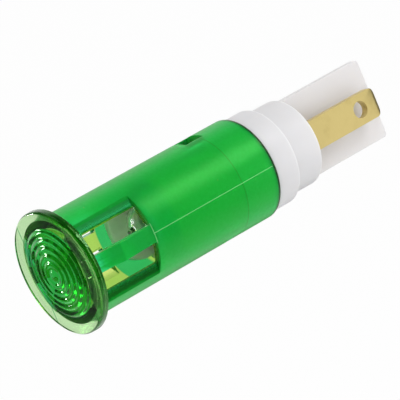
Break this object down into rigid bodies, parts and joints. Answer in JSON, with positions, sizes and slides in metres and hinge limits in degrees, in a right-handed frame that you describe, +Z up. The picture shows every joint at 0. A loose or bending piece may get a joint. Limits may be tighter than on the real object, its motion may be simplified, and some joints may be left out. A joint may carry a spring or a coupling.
{
  "type": "panel pilot light",
  "caption": "Snap-in round panel pilot light with a translucent green ringed lens body, a white rear base, a barrier plate and brass blade terminals.",
  "frame": {"origin": "centre of the flange's rear face, where the axis meets the front of the panel", "axes": "+Y rearwards along the axis, +Z up, blade terminals facing +X and -X"},
  "size_m": [0.0116, 0.0385, 0.0116],
  "materials": {
    "green_lens": "polished translucent green moulding",
    "white_base": "natural white nylon with a soft sheen",
    "blade_brass": "rolled brass strip, finely brushed across",
    "clear_glass": "clear soft glass",
    "electrode_metal": "drawn nickel rod",
    "lead_metal": "tinned wire",
    "resistor_coat": "tan lacquer",
    "tubing_plastic": "ivory insulating tubing",
    "solder_metal": "solder"
  },
  "bodies": {
    "root": {"lens_body": "green_lens", "base": "white_base", "terminal_right": "blade_brass", "terminal_left": "blade_brass", "lamp_glass": "clear_glass", "electrode_right": "electrode_metal", "electrode_left": "electrode_metal", "lamp_lead_right": "lead_metal", "lamp_lead_left": "lead_metal", "resistor_body": "resistor_coat", "resistor_lead_front": "lead_metal", "resistor_lead_rear": "lead_metal", "lead_tubing": "tubing_plastic", "solder_lap": "solder_metal", "solder_right": "solder_metal", "solder_left": "solder_metal"}
  },
  "joints": []
}
